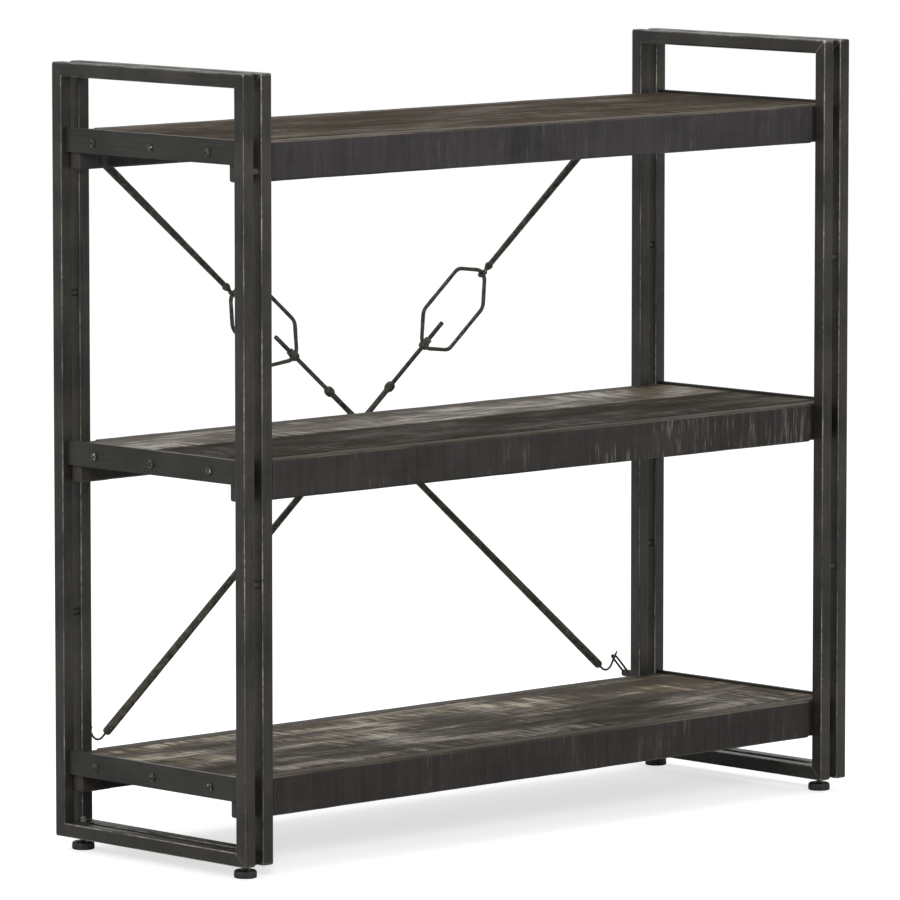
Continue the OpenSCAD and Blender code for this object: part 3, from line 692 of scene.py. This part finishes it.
def bent(points, bend, ring=False, gap=0.004):
    """Centre line through points with an arc of radius bend at each corner. The arc starts at
    bend times the tangent of half the turn before the corner. Straight parts are cut every gap."""
    points = np.array(points, float)
    n = len(points)
    out = []
    for k in range(n):
        if not ring and k in (0, n - 1):
            out.append(points[k][None])
            continue
        a, b, c = points[k - 1], points[k], points[(k + 1) % n]
        u, v = (b - a) / np.linalg.norm(b - a), (c - b) / np.linalg.norm(c - b)
        angle = math.acos(np.clip(u @ v, -1, 1))
        centre = b + (v - u) / np.linalg.norm(v - u) * bend / math.cos(angle / 2)
        w = b - u * bend * math.tan(angle / 2) - centre
        t = np.linspace(0, angle, max(4, int(angle / 0.15)))
        out.append(centre + np.cos(t)[:, None] * w + np.sin(t)[:, None] * u * bend)
    path = np.concatenate(out + ([out[0][:1]] if ring else []))
    full = [path[:1]]
    for a, b in zip(path[:-1], path[1:]):
        count = max(1, int(np.linalg.norm(b - a) / gap))
        full.append(a + (b - a) * np.linspace(0, 1, count + 1)[1:, None])
    full = np.concatenate(full)
    return full[:-1] if ring else full


def forged_steel(name, dark, light, bare_and_glint, dimple):
    """Forged bar, blackened and waxed: hammer dimples 5 to 10 mm across, a mottled scale between
    dark and mid grey, and thin bright scratches."""
    made = bpy.data.materials.new(name)
    made.use_nodes = True
    tree = made.node_tree
    tree.nodes.clear()
    place = add(tree, "ShaderNodeTexCoord", {}).outputs["Object"]
    scale = add(tree, "ShaderNodeTexNoise", {"Vector": place, "Scale": 150.0, "Detail": 5.0,
                                             "Roughness": 0.65}).outputs["Fac"]
    tone = add(tree, "ShaderNodeMapRange",
               {"Value": scale, "From Min": 0.35, "From Max": 0.66}).outputs[0]
    colour = add(tree, "ShaderNodeMix", {"data_type": "RGBA", "Factor": tone, 6: linear(dark),
                                         7: linear(light)}).outputs[2]
    nick = add(tree, "ShaderNodeTexNoise",
               {"Vector": place, "Scale": 520.0, "Detail": 2.0}).outputs["Fac"]
    nick = add(tree, "ShaderNodeMapRange",
               {"Value": nick, "From Min": 0.64, "From Max": 0.72}).outputs[0]
    colour = add(tree, "ShaderNodeMix", {"data_type": "RGBA", "Factor": nick, 6: colour,
                                         7: linear(bare_and_glint)}).outputs[2]
    hammer = add(tree, "ShaderNodeTexVoronoi", {"Vector": place, "Scale": 130.0,
                                                "feature": "SMOOTH_F1"}).outputs["Distance"]
    height = add(tree, "ShaderNodeMath",
                 {"operation": "MULTIPLY_ADD", 0: scale, 1: 0.5, 2: hammer}).outputs[0]
    bump = add(tree, "ShaderNodeBump", {"Strength": 0.5, "Distance": dimple, "Height": height})
    shade = add(tree, "ShaderNodeBsdfPrincipled", {
        "Base Color": colour, "Roughness": 0.62, "Metallic": nick, "Specular IOR Level": 0.2,
        "Normal": bump.outputs[0]})
    add(tree, "ShaderNodeOutputMaterial", {"Surface": shade.outputs[0]})
    return made


rod_steel = forged_steel("forged_blackened_rod_steel", "#2e2c27", "#5c584f", "#a8a499", 0.0006)
slides = {j["child"]: j for j in frame["joints"] if j["type"] == "slide"}
turns = {j["child"]: j for j in frame["joints"] if j["type"] == "hinge"}
braces = {}
for hand in ("left", "right"):
    climb = np.array(slides[hand + "_lower_rod"]["axis"], float)
    climb /= np.linalg.norm(climb)
    cross = np.array(turns[hand + "_nut"]["pos_m"], float)
    low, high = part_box(hand + "_upper_rod")
    rod_end = (high.z - cross[2] - 0.0022 * abs(climb[0])) / climb[2]
    braces[hand] = (cross, climb, rod_end)
    # lower rod: thread, collar, then the taper down to the hook end
    crest = np.arange(0.0605, 0.157, 0.0004)
    profile = ([(0.157, 0.0019)]
               + [(s, 0.00215 + 0.0003 * (k % 2)) for k, s in enumerate(crest[::-1])]
               + [(0.0592, 0.0031), (0.0582, 0.0045), (0.0565, 0.0052), (0.054, 0.0054),
                  (0.0515, 0.0052), (0.0498, 0.0045), (0.0486, 0.0036), (0.047, 0.0031)]
               + [(s, 0.0031 + 0.0017 * (0.047 - s) / (0.047 + rod_end)
                   - 0.00008 + 0.00008 * math.sin(170 * s) * math.sin(61 * s))
                  for s in np.arange(0.044, -rod_end + 0.003, -0.004)]
               + [(-rod_end + 0.003, 0.0047), (-rod_end + 0.0012, 0.004), (-rod_end, 0.0022)])
    piece(hand + "_lower_rod_bar", [lathe_skin(cross, climb, profile, 24)], rod_steel,
          hand + "_lower_rod", [hand + "_lower_rod"], crease=50)

# ---- Tensioning links ----
# A closed link of 4.5 mm wire bent to six sides, with a drilled boss at its foot for the
# thread; the upper rod's wire is curled round its head.
wire_steel = forged_steel("blackened_link_wire", "#33322d", "#625f57", "#b0aca0", 0.0005)
for hand in ("left", "right"):
    cross, climb, rod_end = braces[hand]
    over = np.array([-climb[2], 0, climb[0]]) * np.sign(climb[0])
    back = np.array([0.0, 1.0, 0.0])
    middle = cross + 0.179 * climb
    bend, half, wide, slope = 0.013, 0.058, 0.030, math.radians(46)
    tip = half + bend * (1 / math.sin(slope) - 1)
    flank = tip - wide / math.tan(slope)
    corners = [middle + a * climb + b * over for a, b in (
        (tip, 0), (flank, wide), (-flank, wide), (-tip, 0), (-flank, -wide), (flank, -wide))]
    path = bent(corners, bend, ring=True)
    s = np.arange(len(path))
    wire, dimple = 0.00225, 0.00008
    thick = wire - dimple + dimple * np.sin(s * 0.9)
    boss = [(0.117, 0.0036), (0.1176, 0.0047), (0.119, 0.0052), (0.121, 0.00538),
            (0.123, 0.0052), (0.1244, 0.0047), (0.125, 0.0036)]
    piece(hand + "_link_wire", [swept(path, thick, back, ring=True),
                                lathe_skin(cross, climb, boss, 24)],
          wire_steel, "frame", [hand + "_link"])
    # upper rod: curl, ferrule and the long taper
    eye = cross + 0.237 * climb
    curl_wire, curl_fit = 0.0016, 0.0003
    turn_r = wire + curl_fit + curl_wire
    a = np.radians(np.linspace(0, 360, 28, endpoint=False))
    curl = eye + turn_r * (np.cos(a)[:, None] * climb + np.sin(a)[:, None] * back)
    start = 0.237 + turn_r
    profile = ([(start, 0.0014), (start + 0.002, 0.0019), (start + 0.005, 0.0033),
                (start + 0.0075, 0.0043), (start + 0.0092, 0.0044), (start + 0.0108, 0.0038),
                (start + 0.012, 0.0031)]
               + [(s, 0.0031 + 0.0017 * (s - start - 0.012) / (rod_end - start - 0.012)
                   - 0.00008 + 0.00008 * math.sin(170 * s) * math.sin(61 * s))
                  for s in np.arange(start + 0.016, rod_end - 0.003, 0.004)]
               + [(rod_end - 0.003, 0.0047), (rod_end - 0.0012, 0.004), (rod_end, 0.0022)])
    piece(hand + "_upper_rod_bar", [swept(curl, curl_wire, over, ring=True),
                                    lathe_skin(cross, climb, profile, 24)],
          rod_steel, "frame", [hand + "_upper_rod"], crease=50)

# ---- Nuts ----
# Plain M5 hexagon nuts inside the links; turning one draws the lower rod up and tightens
# the brace.
nut_steel = blackened_steel("rubbed_nut_steel", "#3a3934", "#6c6960", "#b9b5a9", 0.3)
for hand in ("left", "right"):
    nut = frame["nodes"][hand + "_nut"].data.materials
    nut.clear()
    nut.append(nut_steel)

# ---- Hooks and post eyes ----
# Hooks of 2.4 mm wire leave the rod ends, dip, and catch in long wire eyes. The eyes are
# fixed on round bosses welded to the rear of the inner posts.
hook_steel = forged_steel("blackened_hook_wire", "#2b2a26", "#4e4b44", "#9a968b", 0.0002)
post_x = (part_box("right_inner_loop")[0].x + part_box("right_inner_loop")[1].x) / 2
low_z, high_z = 0.1025, 0.7425
eye_lean, eye_len, eye_half_w = math.radians(46), 0.031, 0.004
catch_in, tip_climb, wire_r = 0.0027, math.radians(58), 0.0012
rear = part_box("right_inner_loop")[1].y
back = np.array([0.0, 1.0, 0.0])
for hand in ("left", "right"):
    cross, climb, rod_end = braces[hand]
    sx = np.sign(climb[0])
    for upper in (True, False):
        # drawn for a low end at the right, then turned to its own corner
        fx, fz = (sx, -1) if upper else (-sx, 1)
        run = np.array([abs(climb[0]), -climb[2]])
        end = rod_end * run
        leaning = np.array([-math.cos(eye_lean), math.sin(eye_lean)])
        catch = np.array([post_x, low_z - cross[2]]) + (eye_len - catch_in) * leaning
        climb_up = np.array([math.cos(tip_climb), math.sin(tip_climb)])
        points = np.array([end - 0.004 * run, end + 0.0123 * run,
                           catch - 0.012 * climb_up, catch + 0.007 * climb_up])
        points = np.stack([fx * points[:, 0], np.full(4, cross[1]),
                           cross[2] + fz * points[:, 1]], 1)
        path = bent(points, 0.0088, gap=0.0015)
        reach = np.arange(len(path))
        thick = np.where(reach > len(path) - 3, 0.0009, wire_r)
        piece(hand + ("_upper" if upper else "_lower") + "_hook_wire",
              [swept(path, thick, back, cols=12)], hook_steel,
              "frame" if upper else hand + "_lower_rod",
              [hand + ("_upper_hook" if upper else "_lower_hook")], crease=60)
for hand, side in (("left", -1), ("right", 1)):
    skins = []
    for upper in (True, False):
        nearer = upper == (side > 0)
        plane = braces["right" if nearer else "left"][0][1]
        z, lean = (high_z, -1) if upper else (low_z, 1)
        seat = np.array([side * post_x, plane, z])
        inward = np.array([-side * math.cos(eye_lean), 0, lean * math.sin(eye_lean)])
        square = np.cross(inward, back)
        r = 0.004
        profile = [(rear, 0.0046), (rear + 0.0006, 0.0044), (rear + 0.0012, r),
                   (plane + 0.0044, r), (plane + 0.0052, 0.0034)]
        skins.append(lathe_skin((side * post_x, 0, z), back, profile, 24))
        points = [seat - eye_half_w * back, seat - eye_half_w * back + eye_len * inward,
                  seat + eye_half_w * back + eye_len * inward, seat + eye_half_w * back]
        skins.append(swept(bent(points, 0.0035, gap=0.0015), wire_r, square, cols=12))
    piece(hand + "_post_eyes_wire", skins, hook_steel, "frame",
          [hand + "_post_eyes"], crease=60)
